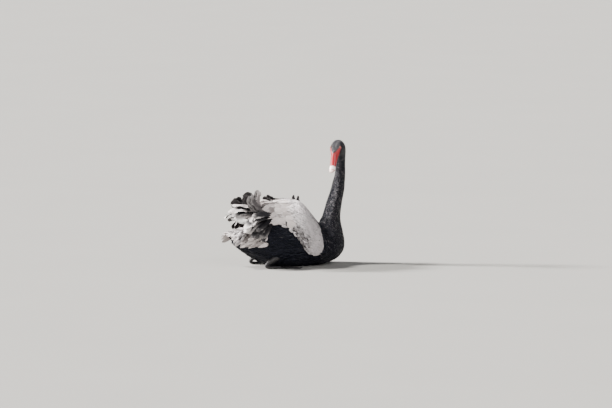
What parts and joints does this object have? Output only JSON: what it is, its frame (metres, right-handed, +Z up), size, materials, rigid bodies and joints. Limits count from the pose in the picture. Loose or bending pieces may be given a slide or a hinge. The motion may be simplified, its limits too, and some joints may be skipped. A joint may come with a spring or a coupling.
{
  "type": "bird model",
  "caption": "Still life-size model of a black swan afloat, neck upright, head turned back over the right shoulder, wings raised with curled inner feathers, resting on a flat belly.",
  "frame": {"origin": "on the flat of the belly, the level the model rests on, below the middle of the back", "axes": "+X forward, the way the breast faces; +Y the bird's left; +Z up"},
  "size_m": [0.6151, 0.3142, 0.587],
  "materials": {
    "black_plumage": "matte black feathers",
    "wing_plumage": "matte sooty feathers with broad pale fringes, bleached by the sun",
    "white_flight_feathers": "matte white feathers",
    "bill_red": "satin red horn with a white band and a pale nail",
    "eye_red": "wet gloss",
    "leg_skin": "scaled dark skin"
  },
  "bodies": {
    "root": {"head": "black_plumage", "neck_upper": "black_plumage", "neck_lower": "black_plumage", "trunk": "black_plumage", "rump": "black_plumage", "tail": "black_plumage", "wing_left": "wing_plumage", "wing_right": "wing_plumage", "tertial_1_left": "wing_plumage", "tertial_1_right": "wing_plumage", "tertial_2_left": "wing_plumage", "tertial_2_right": "wing_plumage", "tertial_3_left": "wing_plumage", "tertial_3_right": "wing_plumage", "tertial_4_left": "wing_plumage", "tertial_4_right": "wing_plumage", "tertial_5_left": "wing_plumage", "tertial_5_right": "wing_plumage", "primaries_left": "white_flight_feathers", "primaries_right": "white_flight_feathers", "bill_upper": "bill_red", "bill_lower": "bill_red", "eye_left": "eye_red", "eye_right": "eye_red", "leg_left": "leg_skin", "leg_right": "leg_skin", "foot_left": "leg_skin", "foot_right": "leg_skin"}
  },
  "joints": []
}
